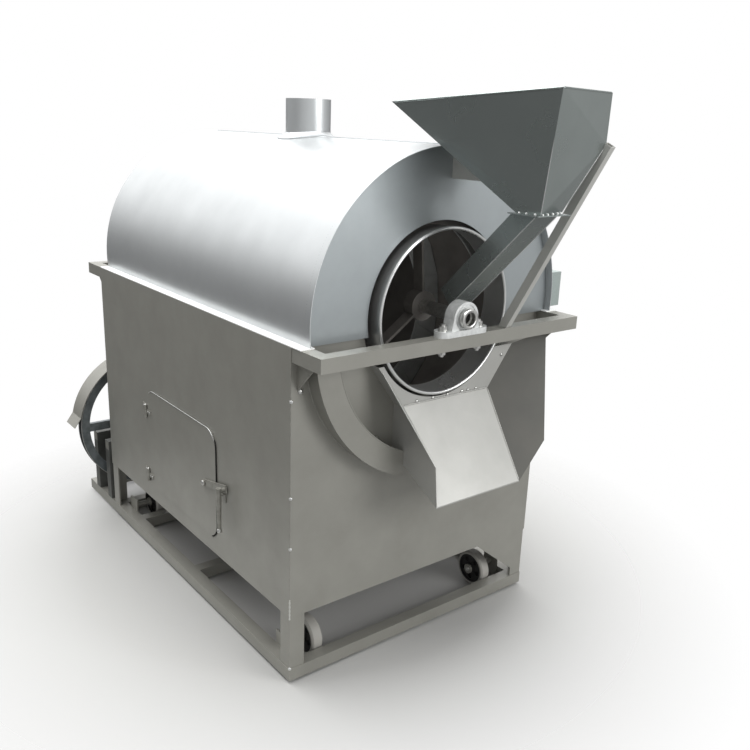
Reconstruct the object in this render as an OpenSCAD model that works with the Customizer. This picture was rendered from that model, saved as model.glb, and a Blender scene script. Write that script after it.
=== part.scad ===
// Drum nut roaster on a wheeled base: a hooded body with a turning drum, a front feed hopper,
// a discharge chute, a side fire door and a two-stage belt drive at the rear.
// Millimetres, Z up. The origin is under the middle of the centre base rail.
// Lengths along Y are counted from the front panel's outer face and moved by placed().

/* [Body] */
// Width over the side panels
body_w = 980; // [940:10:1060]
// Length over the front and rear panels
body_l = 1350; // [1300:10:1450]
// Height of the panels' lower edge over the underside of the base rails
panel_low_z = 212; // [210:1:230]
// Height of the side ledges' top
body_top_z = 1016; // [1000:1:1050]
// Sheet thickness of panels, hood and guards
sheet_t = 2; // [1.5:0.5:3]
// Leg width of the corner angles
post_w = 50; // [45:1:60]
// Leg thickness of the corner angles
post_t = 5; // [4:1:8]
// Width of the side ledges
ledge_w = 44; // [42:1:50]
// Thickness of the side ledges
ledge_t = 3; // [2:1:5]
// Side of the square tubes of base and top frame
tube_w = 40; // [38:1:46]
// Wall of the square tubes
tube_t = 3; // [2:0.5:4]
// How far the base rails reach past the rear panel
base_tail = 275; // [270:5:350]

/* [Hood] */
// How far the hood's side stands in from the body's side
hood_inset = 28; // [26:1:34]
// How far the hood reaches past the front panel
hood_front = 44; // [40:1:60]
// How far the hood's front plate lies behind the hood's front edge
hood_recess = 24; // [16:1:28]
// Space round the drum's mouth collar in the front plates
mouth_gap = 18; // [14:1:30]
// Outer radius of the flue pipe
flue_r = 75; // [60:1:90]
// Wall of the flue pipe
flue_t = 2; // [1.5:0.5:4]
// Height of the flue pipe over the hood's crown
flue_h = 118; // [80:1:200]
// Width of the flue's saddle plate
saddle_w = 28; // [20:1:40]
// Length of flue pipe below the hood's crown
flue_stub = 22; // [18:1:40]

/* [Drum] */
// Space between the drum and the hood
drum_gap = 60; // [40:1:80]
// Wall of the drum
drum_t = 3; // [2:0.5:5]
// Radius of the drum's mouth collar as a share of the drum's radius
collar_share = 0.6025; // [0.58:0.0005:0.61]
// How far the collar reaches past the front panel
collar_front = 50; // [48:1:60]
// Space between a panel and the drum's end wall
drum_end_gap = 35; // [30:1:60]
// Radius of the rolled lip of the collar
lip_r = 5; // [3:0.5:6]
// Radial width of the spiral flights
flight_w = 100; // [60:5:140]
// Thickness of the spiral flights
flight_t = 4; // [3:0.5:6]
// Number of spiral flights
flight_n = 2; // [1:1:3]
// Turns of one spiral flight
flight_turns = 1.75; // [1:0.25:3]
// Radius of the drum and jack shafts
shaft_r = 20; // [18:0.5:22]

/* [Front bar and bearings] */
// How far the top rails reach past the front and rear panels
arm_l = 94; // [85:1:120]
// Height of a bearing's axis over its foot
bearing_h = 49; // [46:1:60]
// Length of a bearing's foot
bearing_l = 184; // [180:1:200]
// Width of a bearing's foot
bearing_w = 54; // [50:1:60]
// Thickness of a bearing's foot
bearing_foot = 17; // [14:1:20]
// Spacing of a bearing's bolts
bearing_pitch = 137; // [134:1:142]
// Radius of a bearing's round boss
bearing_r = 46; // [40:1:48]
// Radius of a bearing bolt
bolt_r = 7; // [5:0.5:8]

/* [Chute] */
// Sideways place of the chute's middle
chute_x = 30; // [0:5:40]
// Half width of the chute's floor as a share of the collar's radius
chute_share = 0.697; // [0.65:0.001:0.74]
// How far the back plate reaches past the collar at both sides and below
chute_rim = 23; // [20:1:30]
// Height of the chute's back plate
chute_plate_h = 132; // [120:1:140]
// Depth of the chute's back plate in front of the panel
chute_depth = 42; // [38:1:46]
// How far the floor reaches forward
chute_run = 163; // [120:1:190]
// How far the floor falls
chute_drop = 253; // [200:1:280]
// Height of the left wall at the front
chute_wall = 120; // [80:1:150]
// Depth of the lower front ring
ring_depth = 55; // [50:1:80]
// How far the lower front ring stands in from the body's side
ring_inset = 41; // [35:1:50]
// Radial width of the lower front ring
ring_w = 74; // [50:1:95]

/* [Hopper] */
// Turn of the hopper seen from above
hopper_turn = 11.4; // [0:0.1:20]
// Sideways place of the outlet's middle
hopper_x = 62; // [56:1:70]
// Outlet's middle in front of the panel
hopper_y = 308; // [300:1:330]
// Height of the outlet
outlet_z = 1366; // [1350:1:1380]
// Height of the rim's low rear edge
rim_rear_z = 1630; // [1620:1:1640]
// Height of the rim's front edge
rim_front_z = 1667; // [1660:1:1690]
// Height where the right wall starts to slope in
shoulder_z = 1541; // [1520:1:1560]
// Front edge of the right wall at that height from the outlet's middle
shoulder_front = 97; // [74:1:99]
// Half width of the outlet
outlet_half_w = 52; // [46:1:56]
// Half length of the outlet
outlet_half_l = 35; // [32:1:40]
// Rim's left edge from the outlet's middle
rim_left = 115; // [80:1:140]
// Rim's right edge from the outlet's middle
rim_right = 139; // [110:1:160]
// Rim's front edge from the outlet's middle
rim_front = 99; // [70:1:120]
// Rim's rear edge from the outlet's middle
rim_rear = 410; // [360:2:420]
// Width of the feed trough
trough_w = 84; // [70:1:90]
// Side height of the feed trough
trough_h = 58; // [40:1:62]
// Slope of the feed trough in degrees
trough_slope = 44; // [42:0.5:46]
// Side of the strut's square tube
strut_w = 25; // [20:1:30]

/* [Fire door] */
// Front edge of the door behind the front panel
door_y = 432; // [400:1:460]
// Length of the door
door_l = 518; // [440:1:540]
// Lower edge of the door
door_z = 268; // [262:1:290]
// Height of the door
door_h = 372; // [300:1:380]
// Corner radius of the door
door_corner = 55; // [30:1:70]
// How far the door laps over its opening
door_lap = 28; // [20:1:40]
// Height of one hinge
hinge_h = 48; // [36:1:60]
// Radius of a hinge knuckle
knuckle_r = 6; // [5:0.5:8]
// Radius of a hinge pin
pin_r = 3; // [2:0.5:4]
// Length of the latch bar in front of its pivot
latch_l = 150; // [120:1:170]
// Height of the latch bar
latch_h = 24; // [18:1:30]
// Rise of the latch bar in degrees
latch_rise = 12; // [0:1:15]
// Length of the hanging handle
handle_l = 140; // [100:1:180]

/* [Wheels] */
// Radius of a wheel
wheel_r = 62.5; // [60:0.5:70]
// Width of a tyre
wheel_w = 38; // [30:1:45]
// How far the wheels reach below the base rails
wheel_drop = 10; // [6:1:20]
// Space between a wheel and the side rail
wheel_side_gap = 72; // [30:1:90]
// Space between a wheel and the end cross rail
wheel_end_gap = 4; // [3:1:30]
// Radius of an axle
axle_r = 10; // [8:0.5:12]

/* [Drive] */
// Distance of the jackshaft from the body's left side
jack_in = 195; // [180:5:210]
// Height of the jackshaft
jack_z = 340; // [336:1:360]
// Radius of the spoked sheave
sheave_r = 280; // [260:5:290]
// Width of a pulley rim
rim_w = 36; // [30:1:40]
// Radius of the small pulley on the jackshaft
jack_pulley_r = 60; // [50:1:80]
// Radius of the pulley on the drum shaft
drum_pulley_r = 250; // [220:5:260]
// Radius of the motor pulley
motor_pulley_r = 45; // [40:1:60]
// Distance of the motor's axis from the body's right side
motor_in = 290; // [275:5:300]
// Radius of the motor's frame
motor_r = 78; // [70:1:80]
// Length of the motor's frame
motor_l = 250; // [220:5:270]

/* [Control box] */
// Width of the control box
box_w = 90; // [80:1:110]
// Length of the control box
box_l = 170; // [140:5:220]
// Height of the control box
box_h = 112; // [90:1:130]

/* [Hidden] */
$fn = 96;

// Colours by material
panel_steel = [0.57, 0.56, 0.53];
dark_steel = [0.32, 0.33, 0.32];
bright_steel = [0.78, 0.78, 0.76];
cast_green = [0.24, 0.33, 0.28];
black_rubber = [0.09, 0.09, 0.09];
soot_steel = [0.18, 0.17, 0.16];
motor_blue = [0.30, 0.36, 0.42];
box_grey = [0.80, 0.80, 0.77];
stop_red = [0.75, 0.10, 0.08];
tyre_grey = [0.62, 0.61, 0.58];

// Overrun of cuts, clearance of turning fits, welded fits and moving pieces
over = 1;
run_gap = 0.05;
fit_gap = 0.3;
move_gap = 1;

// Body
half_w = body_w / 2;
bar_top_z = body_top_z - ledge_t;
bar_low_z = bar_top_z - tube_w;
axis_z = bar_top_z + bearing_h;
inner_w = half_w - sheet_t;
base_l = body_l + base_tail;
rail_x = inner_w - tube_w;
ledge_x = half_w - ledge_w;
motor_rail_in = 220;
motor_rail_y = body_l - motor_rail_in;
centre_rail_y = body_l / 2 - tube_w / 2;
cross_rail_ys = [0, centre_rail_y, motor_rail_y, body_l - tube_w, base_l - tube_w];
jack_x = jack_in - half_w;
motor_x = half_w - motor_in;
drive_rail_off = 145;
drive_rail_x = jack_x + drive_rail_off;
gusset_t = 4;
arm_gusset = 82;
foot_gusset_l = 180;
foot_gusset_h = 141;
foot_gusset_lap = 24;

// Hood
hood_r = half_w - hood_inset;
hood_in_r = hood_r - sheet_t;
drum_r = hood_in_r - drum_gap;
collar_r = drum_r * collar_share;
mouth_r = collar_r + mouth_gap;
plate_y = hood_recess - hood_front;
flue_y = body_l / 2;
saddle_r = flue_r + saddle_w;
saddle_t = 2;
crown_z = axis_z + hood_r;
rear_hole_r = 45;
mouth_chord = sqrt(mouth_r * mouth_r - bearing_h * bearing_h);

// Crossbars and bearings
front_bar_y = -arm_l - tube_w;
rear_bar_y = body_l + arm_l;
front_bearing_y = front_bar_y + tube_w / 2;
rear_bearing_y = rear_bar_y + tube_w / 2;
race_t = 6;
race_r = shaft_r + race_t;
race_l = 49;
boss_w = 40;
neck_half = 52;
groove_r = 38;
groove_w = 3;
groove_d = 2.5;
bolt_gap = 0.5;
nut_share = 1.7;
nut_h = 11;
bolt_end = 6;
washer_r = 14;
washer_t = 2.5;

// Drum
drum_y0 = sheet_t + drum_end_gap;
drum_y1 = body_l - sheet_t - drum_end_gap;
drum_in_r = drum_r - drum_t;
flight_out_r = drum_in_r - fit_gap;
flight_start = 55;
flight_stop = 40;
flight_y0 = drum_y0 + flight_start;
flight_y1 = drum_y1 - flight_stop;
flight_plates = 21;
plate_steps = 2;
weld_share = 0.004;
shaft_sink = 6;
front_shaft_y = front_bearing_y - race_l / 2 + shaft_sink;
spider_in = 10;
spider_w = 40;
spider_y0 = drum_y0 + spider_in;
spider_y1 = spider_y0 + spider_w;
hub_r = 45;
spoke_n = 3;
spoke_t = 8;
spoke_turn = 25;
bore_d = 24;
bore_r = 16;
rear_hub_l = 60;
rear_flange_r = 110;
rear_flange_t = 12;

// Chute and lower front ring
chute_front_y = -chute_depth - sheet_t;
chute_half = collar_r * chute_share;
chute_top_half = collar_r + chute_rim;
chute_z = axis_z - collar_r - chute_rim;
chute_top_z = chute_z + chute_plate_h;
ring_r = half_w - ring_inset;
ring_in_r = ring_r - ring_w;
chute_hole_gap = 6;
chute_hole_r = collar_r + lip_r + chute_hole_gap;
chute_slope = (chute_top_half - chute_half) / (chute_top_z - chute_z);
chute_inset = sheet_t * sqrt(1 + chute_slope * chute_slope);
floor_t = sheet_t * sqrt(1 + pow(chute_drop / chute_run, 2));
chute_left = chute_x - chute_half;
chute_right = chute_x + chute_half;
chute_wall_back = 14;
chute_rear_lean = 84;
chute_rear_h = 118;
chute_skirt_h = 145;
ring_end_x = chute_left;
cheek_top_share = 0.3325;
cheek_knee_share = 1.0368;
cheek_out_share = 0.9615;

// Hopper, trough and their supports
hopper_t = 2.4;
hopper_flange_t = 3;
hopper_flange_half = [62, 52];
hopper_hole_half = [38, 23];
trough_end_y = -41;
trough_end_h = 16;
trough_end_z = axis_z + trough_end_h;
trough_long = 520;
strut_t = 2;
strut_foot = [178, front_bearing_y, bar_top_z];
strut_top = [224, -381, shoulder_z];
strut_dir = strut_top - strut_foot;
bracket_x = 20;
bracket_t = 5;
bracket_low_h = 372;
bracket_top_h = 448;
bracket_low_z = axis_z + bracket_low_h;
bracket_top_z = axis_z + bracket_top_h;
bracket_out = 150;

// Fire door, hinges and latch
door_t = 3;
door_gap = 0.6;
door_face = -half_w - door_gap - door_t;
liner_in = 50;
liner_d = 20;
hinge_x = -half_w - knuckle_r - move_gap;
hinge_off = 3;
hinge_low_in = 14;
hinge_top_in = 62;
hinge_y = door_y + door_l + knuckle_r + hinge_off;
hinge_zs = [door_z + hinge_low_in, door_z + door_h - hinge_top_in - hinge_h];
knuckle_h = hinge_h / 3;
leaf_t = 2.5;
leaf_l = 38;
latch_in = 70;
latch_up = 179;
latch_y = door_y + latch_in;
latch_z = door_z + latch_up;
latch_t = 5;
latch_x = door_face - move_gap - latch_t;
latch_pin_r = 6;
latch_head_r = 11;
latch_head_t = 4;
handle_r = 9;
handle_tip_r = 6;
handle_off = 20;
handle_boss_r = 7;
keeper_in = 108;
keeper_w = 26;
keeper_y1 = latch_y - keeper_in;
keeper_y0 = keeper_y1 - keeper_w;
keeper_t = 3;
keeper_out = 16;
keeper_h = 60;

// Wheels
axle_z = wheel_r - wheel_drop;
axle_y = tube_w + wheel_r + wheel_end_gap;
wheel_x = half_w - tube_w - wheel_side_gap - wheel_w;
axle_ys = [axle_y, body_l - axle_y];
hub_disc_r = 47;
wheel_hub_w = 30;
wheel_boss_r = 19;
wheel_boss_w = 44;
wheel_hole_r = 9;
wheel_hole_pitch = 33;
wheel_hole_n = 5;
tyre_in_r = 46;
tyre_edge = 5;
axle_plate_t = 6;
axle_plate_l = 64;
axle_plate_top = 86;
collar_t = 6;
collar_out_r = 17;

// Drive
jack_out = 50;
sheave_out = 110;
jack_span = 130;
pulley_out = 237;
jack_y0 = body_l + jack_out;
sheave_y = body_l + sheave_out;
jack_y1 = jack_y0 + jack_span;
pulley_y = body_l + pulley_out;
shaft_end = 26;
beam_top_z = jack_z - bearing_h;
beam_low_z = beam_top_z - tube_w;
groove_top = 17;
groove_low = 12;
groove_depth = 14;
belt_w = 12;
belt_sink = 9;
belt_t = 10;
sheave_rim_t = 34;
sheave_spoke_n = 5;
sheave_spoke_w = 34;
sheave_spoke_t = 16;
sheave_hub_r = 48;
sheave_hub_l = 56;
web_t = 10;
web_hole_r = 42;
web_hole_n = 6;
web_hole_share = 0.56;
guard_gap = 14;
guard_w = 96;
guard_from_turn = 52;
guard_to_turn = 168;
quarter_turn = 90;
guard_tail = 46;
guard_tail_turn = 24;
guard_leg_x = 118;
guard_leg_w = 26;
guard_leg_t = 6;
plate_t = 6;
motor_shaft_h = 80;
motor_z = tube_w + plate_t + motor_shaft_h;
motor_out = 50;
motor_y1 = body_l + motor_out;
motor_y0 = motor_y1 - motor_l;
motor_core_share = 0.9;
motor_fin_n = 24;
motor_fin_t = 3;
motor_bell_l = 28;
motor_bell_share = 0.95;
motor_fan_l = 62;
motor_shaft_r = 12;
motor_nose_r = 30;
motor_nose_l = 14;
motor_foot_l = 44;
motor_foot_half = 88;
motor_foot_t = 12;
motor_web_half = 50;
motor_plate_half = 98;
motor_box = [54, 90, 64];
motor_box_share = 0.8;

// Control box
box_off = 4;
box_x0 = hood_r + box_off;
box_x1 = box_x0 + box_w;
box_y0 = 4;
box_t = 2;
knob_share = 0.3;
stop_share = 0.7;
knob_y = box_y0 + box_l * knob_share;
stop_y = box_y0 + box_l * stop_share;
knob_z = body_top_z + box_h / 2;
knob_r = 17;
knob_t = 9;
knob_grip = [12, 8, 32];
stem_r = 8;
stem_in = 18;
stop_r = 20;
stop_head_t = 12;
stop_lift = 11;
stop_stem_r = 11;

// Fire place
tray_x = inner_w - post_t;
tray_y0 = sheet_t + post_t;
tray_up = 4;
tray_z = panel_low_z + tray_up;
tray_h = 42;
grate_half = 250;
grate_y0 = 300;
grate_y1 = body_l - grate_y0;
bearer_t = 20;
bearer_h = 60;
bearer_in = 40;
grate_n = 13;
grate_bar = 16;

// Moves a piece drawn from the front panel's face into the part's frame
module placed() {
    translate([0, -body_l / 2, 0])
        children();
}

// Plate with its outline in X and Z
module slab_y(y0, y1) {
    translate([0, y1, 0])
        rotate([90, 0, 0])
            linear_extrude(height = y1 - y0)
                children();
}

// Plate with its outline in Y and Z
module slab_x(x0, x1) {
    translate([x0, 0, 0])
        rotate([90, 0, 90])
            linear_extrude(height = x1 - x0)
                children();
}

// Plate with its outline in X and Y
module slab_z(z0, z1) {
    translate([0, 0, z0])
        linear_extrude(height = z1 - z0)
            children();
}

// Rectangle given by its edges
module area(u0, u1, v0, v1) {
    translate([u0, v0])
        square([u1 - u0, v1 - v0]);
}

// Rectangle with round corners
module round_area(u0, u1, v0, v1, r) {
    area(u0 + r, u1 - r, v0, v1);
    area(u0, u1, v0 + r, v1 - r);
    for (u = [u0 + r, u1 - r], v = [v0 + r, v1 - r])
        translate([u, v])
            circle(r);
}

// Section of a square tube
module tube_area(u, v, w, t) {
    difference() {
        area(u, u + w, v, v + w);
        area(u + t, u + w - t, v + t, v + w - t);
    }
}

module tube_x(x0, x1, y, z) {
    slab_x(x0, x1)
        tube_area(y, z, tube_w, tube_t);
}

module tube_y(y0, y1, x, z) {
    slab_y(y0, y1)
        tube_area(x, z, tube_w, tube_t);
}

module tube_z(z0, z1, x, y) {
    slab_z(z0, z1)
        tube_area(x, y, tube_w, tube_t);
}

// Round bars along the three axes
module rod_y(r, y0, y1, x, z) {
    translate([x, y0, z])
        rotate([-90, 0, 0])
            cylinder(r = r, h = y1 - y0);
}

module rod_x(r, x0, x1, y, z) {
    translate([x0, y, z])
        rotate([0, 90, 0])
            cylinder(r = r, h = x1 - x0);
}

module rod_z(r, z0, z1, x, y) {
    translate([x, y, z0])
        cylinder(r = r, h = z1 - z0);
}

module pipe_y(r, r_in, y0, y1, x, z) {
    difference() {
        rod_y(r, y0, y1, x, z);
        rod_y(r_in, y0 - over, y1 + over, x, z);
    }
}

// Convex solid round a list of points
module solid_of(points) {
    hull()
        polyhedron(points = points, faces = [[for (i = [0 : len(points) - 1]) i]]);
}

// Leg outline of a corner angle, its corner at x, y and its legs towards su, sv
module angle_area(x, y, su, sv) {
    area(min(x, x + su * post_w), max(x, x + su * post_w),
        min(y, y + sv * post_t), max(y, y + sv * post_t));
    area(min(x, x + su * post_t), max(x, x + su * post_t),
        min(y, y + sv * post_w), max(y, y + sv * post_w));
}

// Base frame
module base_side_rails() {
    color(panel_steel)
        placed() {
            tube_y(0, base_l, -half_w, 0);
            tube_y(0, base_l, half_w - tube_w, 0);
            tube_y(body_l, base_l - tube_w, drive_rail_x, 0);
        }
}

module base_cross_rails() {
    color(panel_steel)
        placed()
            for (y = cross_rail_ys)
                tube_x(tube_w - half_w, half_w - tube_w, y, 0);
}

module corner_posts() {
    color(panel_steel)
        placed()
            slab_z(tube_w, bar_low_z) {
                angle_area(-inner_w, sheet_t, 1, 1);
                angle_area(inner_w, sheet_t, -1, 1);
                angle_area(-inner_w, body_l - sheet_t, 1, -1);
                angle_area(inner_w, body_l - sheet_t, -1, -1);
            }
}

module gussets() {
    color(panel_steel)
        placed() {
            for (x = [-rail_x - tube_w / 2, rail_x + tube_w / 2])
                slab_x(x - gusset_t / 2, x + gusset_t / 2) {
                    polygon([[0, bar_low_z], [-arm_gusset, bar_low_z], [0, bar_low_z - arm_gusset]]);
                    polygon([[body_l, bar_low_z], [body_l, bar_low_z - arm_gusset],
                        [body_l + arm_gusset, bar_low_z]]);
                }
            slab_y(sheet_t, sheet_t + gusset_t)
                polygon([[inner_w - post_w, panel_low_z + foot_gusset_lap],
                    [inner_w - post_w - foot_gusset_l, panel_low_z + foot_gusset_lap],
                    [inner_w - post_w - foot_gusset_l, panel_low_z],
                    [inner_w - post_w, panel_low_z - foot_gusset_h]]);
        }
}

// Outline of the fire door with its edges moved in
module door_area(in, r) {
    round_area(door_y + in, door_y + door_l - in, door_z + in, door_z + door_h - in, r);
}

module left_panel() {
    color(panel_steel)
        placed()
            slab_x(-half_w, -inner_w)
                difference() {
                    area(0, body_l, panel_low_z, bar_top_z);
                    door_area(door_lap, door_corner - door_lap);
                }
}

module right_panel() {
    color(panel_steel)
        placed()
            slab_x(inner_w, half_w)
                area(0, body_l, panel_low_z, bar_top_z);
}

// Outline between the side panels with notches for the top rails
module end_area() {
    area(-inner_w, inner_w, panel_low_z, bar_low_z);
    area(-rail_x, rail_x, bar_low_z - over, bar_top_z);
}

module front_panel() {
    color(panel_steel)
        placed()
            slab_y(0, sheet_t)
                difference() {
                    end_area();
                    translate([0, axis_z])
                        circle(mouth_r);
                }
}

// Half disc that closes the hood, down to the top of the panels
module hood_end_area() {
    intersection() {
        translate([0, axis_z])
            circle(hood_in_r - fit_gap);
        area(-hood_r, hood_r, body_top_z, crown_z);
    }
    area(-ledge_x, ledge_x, bar_top_z, body_top_z + over);
}

module rear_panel() {
    color(panel_steel)
        placed()
            slab_y(body_l - sheet_t, body_l)
                difference() {
                    union() {
                        end_area();
                        hood_end_area();
                    }
                    translate([0, axis_z])
                        circle(rear_hole_r);
                }
}

module top_rails() {
    color(panel_steel)
        placed() {
            tube_y(front_bar_y + tube_w, rear_bar_y, -rail_x - tube_w, bar_low_z);
            tube_y(front_bar_y + tube_w, rear_bar_y, rail_x, bar_low_z);
        }
}

// Bolt holes of one bearing through a tube or foot
module bolt_holes(x, y, z0, z1) {
    for (s = [-bearing_pitch / 2, bearing_pitch / 2])
        rod_z(bolt_r + bolt_gap, z0 - over, z1 + over, x + s, y);
}

module crossbar(y) {
    difference() {
        tube_x(-inner_w, inner_w, y, bar_low_z);
        bolt_holes(0, y + tube_w / 2, bar_low_z, bar_top_z);
    }
}

module front_crossbar() {
    color(panel_steel)
        placed()
            crossbar(front_bar_y);
}

module rear_crossbar() {
    color(panel_steel)
        placed()
            crossbar(rear_bar_y);
}

module side_ledges() {
    color(bright_steel)
        placed()
            slab_z(bar_top_z, body_top_z) {
                area(-half_w, -ledge_x, -hood_front, body_l);
                area(ledge_x, half_w, -hood_front, body_l);
            }
}

// Hood
module hood_shell() {
    color(panel_steel)
        placed()
            difference() {
                slab_y(-hood_front, body_l)
                    difference() {
                        translate([0, axis_z])
                            circle(hood_r);
                        translate([0, axis_z])
                            circle(hood_in_r);
                        area(-body_w, body_w, 0, body_top_z);
                    }
                rod_z(flue_r + fit_gap, axis_z, crown_z + over, 0, flue_y);
            }
}

module hood_front_plate() {
    color(panel_steel)
        placed() {
            slab_y(plate_y, plate_y + sheet_t)
                difference() {
                    hood_end_area();
                    translate([0, axis_z])
                        circle(mouth_r);
                }
            slab_z(bar_top_z, bar_top_z + sheet_t) {
                area(-ledge_x, -mouth_chord, plate_y, sheet_t);
                area(mouth_chord, ledge_x, plate_y, sheet_t);
            }
        }
}

module flue_pipe() {
    color(bright_steel)
        placed()
            difference() {
                union() {
                    rod_z(flue_r, crown_z - flue_stub, crown_z + flue_h, 0, flue_y);
                    intersection() {
                        pipe_y(hood_r + saddle_t, hood_r, flue_y - saddle_r, flue_y + saddle_r, 0, axis_z);
                        rod_z(saddle_r, axis_z, crown_z + flue_h, 0, flue_y);
                    }
                }
                rod_z(flue_r - flue_t, crown_z - flue_stub - over, crown_z + flue_h + over, 0, flue_y);
            }
}

// Lower front: ring and chute
module ring_limits() {
    area(-ring_r - over, ring_end_x, body_top_z - ring_r - over, bar_low_z);
}

module front_ring() {
    color(panel_steel)
        placed() {
            slab_y(-ring_depth, sheet_t - ring_depth)
                intersection() {
                    difference() {
                        translate([0, body_top_z])
                            circle(ring_r);
                        translate([0, body_top_z])
                            circle(ring_in_r);
                    }
                    ring_limits();
                }
            slab_y(-ring_depth, 0)
                intersection() {
                    difference() {
                        translate([0, body_top_z])
                            circle(ring_r);
                        translate([0, body_top_z])
                            circle(ring_r - sheet_t);
                    }
                    ring_limits();
                }
        }
}

// Half width of the chute's back plate at a height
function chute_half_at(z) = chute_half + chute_slope * (z - chute_z);

module chute_outline(in, low, high) {
    polygon([[chute_x - chute_half_at(low) + in, low], [chute_x + chute_half_at(low) - in, low],
        [chute_x + chute_half_at(high) - in, high], [chute_x - chute_half_at(high) + in, high]]);
}

module chute_plate() {
    color(bright_steel)
        placed() {
            slab_y(chute_front_y, -chute_depth)
                difference() {
                    chute_outline(0, chute_z, chute_top_z);
                    translate([0, axis_z])
                        circle(chute_hole_r);
                }
            slab_y(-chute_depth - sheet_t / 2, 0)
                difference() {
                    chute_outline(0, chute_z, chute_top_z);
                    chute_outline(chute_inset, chute_z + sheet_t, chute_top_z + over);
                }
        }
}

module discharge_chute() {
    front_y = chute_front_y - chute_run;
    low_z = chute_z - chute_drop;
    rear_low = [chute_left, chute_front_y, chute_z];
    rear_top = [chute_left - chute_rear_lean, chute_front_y, chute_z + chute_rear_h];
    front_low = [chute_left, front_y, low_z];
    front_top = [chute_left, front_y + chute_wall_back, low_z + chute_wall];
    wall = [sheet_t, 0, 0];
    color(dark_steel)
        placed() {
            slab_x(chute_left, chute_right)
                polygon([[chute_front_y, chute_z], [front_y, low_z], [front_y, low_z + floor_t],
                    [chute_front_y, chute_z + floor_t]]);
            slab_x(chute_left, chute_left + sheet_t)
                polygon([[chute_front_y, chute_z], [front_y, low_z], [0, chute_z - chute_skirt_h],
                    [0, chute_z]]);
            solid_of([rear_low, front_low, front_top, rear_low + wall, front_low + wall,
                front_top + wall]);
            solid_of([rear_low, front_top, rear_top, rear_low + wall, front_top + wall,
                rear_top + wall]);
        }
}

// Right wall of the chute: a flat plate that flares from the floor's edge up to the crossbar
module chute_cheek() {
    corner = [chute_right, chute_front_y, chute_z];
    along = [0, -chute_run, -chute_drop];
    out = [chute_top_half - chute_half, 0, chute_plate_h];
    top_share = (bar_low_z - fit_gap - chute_z + cheek_top_share * chute_drop) / chute_plate_h;
    face = [corner, corner + along, corner + cheek_knee_share * along + cheek_out_share * out,
        corner + cheek_top_share * along + top_share * out, corner + out];
    square_to = cross(out, along);
    back = sheet_t * square_to / norm(square_to);
    color(dark_steel)
        placed()
            solid_of([for (q = face) q, for (q = face) q + back]);
}

// Hopper: corner points round the outlet, walls moved in by in, open ends run over by out
function hopper_points(in, out) =
    let (
        fall_share = (shoulder_z - outlet_z) / (rim_rear_z - outlet_z),
        rear_l = outlet_half_l + (rim_rear - outlet_half_l) * fall_share
    )
    [[in - rim_left, in - rim_front, rim_front_z + out], [rim_right - in, in - rim_front, rim_front_z + out],
        [in - rim_left, rim_rear - in, rim_rear_z + out], [rim_right - in, rim_rear - in, rim_rear_z + out],
        [rim_right - in, in - shoulder_front, shoulder_z], [rim_right - in, rear_l - in, shoulder_z],
        [in - outlet_half_w, in - outlet_half_l, outlet_z - out],
        [outlet_half_w - in, in - outlet_half_l, outlet_z - out],
        [in - outlet_half_w, outlet_half_l - in, outlet_z - out],
        [outlet_half_w - in, outlet_half_l - in, outlet_z - out]];

module hopper_place() {
    translate([hopper_x, -hopper_y, 0])
        rotate([0, 0, hopper_turn])
            children();
}

module hopper_outer() {
    hopper_place()
        solid_of(hopper_points(0, 0));
}

module feed_hopper() {
    color(bright_steel)
        placed() {
            difference() {
                hopper_outer();
                hopper_place()
                    solid_of(hopper_points(hopper_t, over));
            }
            translate([hopper_x, -hopper_y, 0])
                slab_z(outlet_z - hopper_flange_t, outlet_z)
                    difference() {
                        area(-hopper_flange_half[0], hopper_flange_half[0],
                            -hopper_flange_half[1], hopper_flange_half[1]);
                        area(-hopper_hole_half[0], hopper_hole_half[0],
                            -hopper_hole_half[1], hopper_hole_half[1]);
                    }
        }
}

module feed_trough() {
    color(bright_steel)
        placed()
            difference() {
                translate([hopper_x, trough_end_y, trough_end_z])
                    rotate([-trough_slope, 0, 0])
                        slab_y(-trough_long, 0)
                            difference() {
                                area(-trough_w / 2, trough_w / 2, 0, trough_h);
                                area(sheet_t - trough_w / 2, trough_w / 2 - sheet_t, sheet_t,
                                    trough_h + over);
                            }
                slab_z(outlet_z - hopper_flange_t, outlet_z + trough_long)
                    area(-body_w, body_w, -body_l, body_l);
            }
}

module hopper_supports() {
    strut_long = norm(strut_dir);
    color(panel_steel)
        placed()
            difference() {
                union() {
                    translate(strut_foot)
                        rotate([0, acos(strut_dir[2] / strut_long), atan2(strut_dir[1], strut_dir[0])])
                            slab_z(-strut_w, strut_long)
                                tube_area(-strut_w / 2, -strut_w / 2, strut_w, strut_t);
                    slab_x(bracket_x, bracket_x + bracket_t)
                        polygon([[plate_y, bracket_low_z], [plate_y, bracket_top_z],
                            [plate_y - bracket_out, bracket_top_z], [plate_y - bracket_out, bracket_low_z]]);
                }
                hopper_outer();
                slab_z(0, bar_top_z)
                    area(-body_w, body_w, -body_l, body_l);
            }
}

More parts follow.
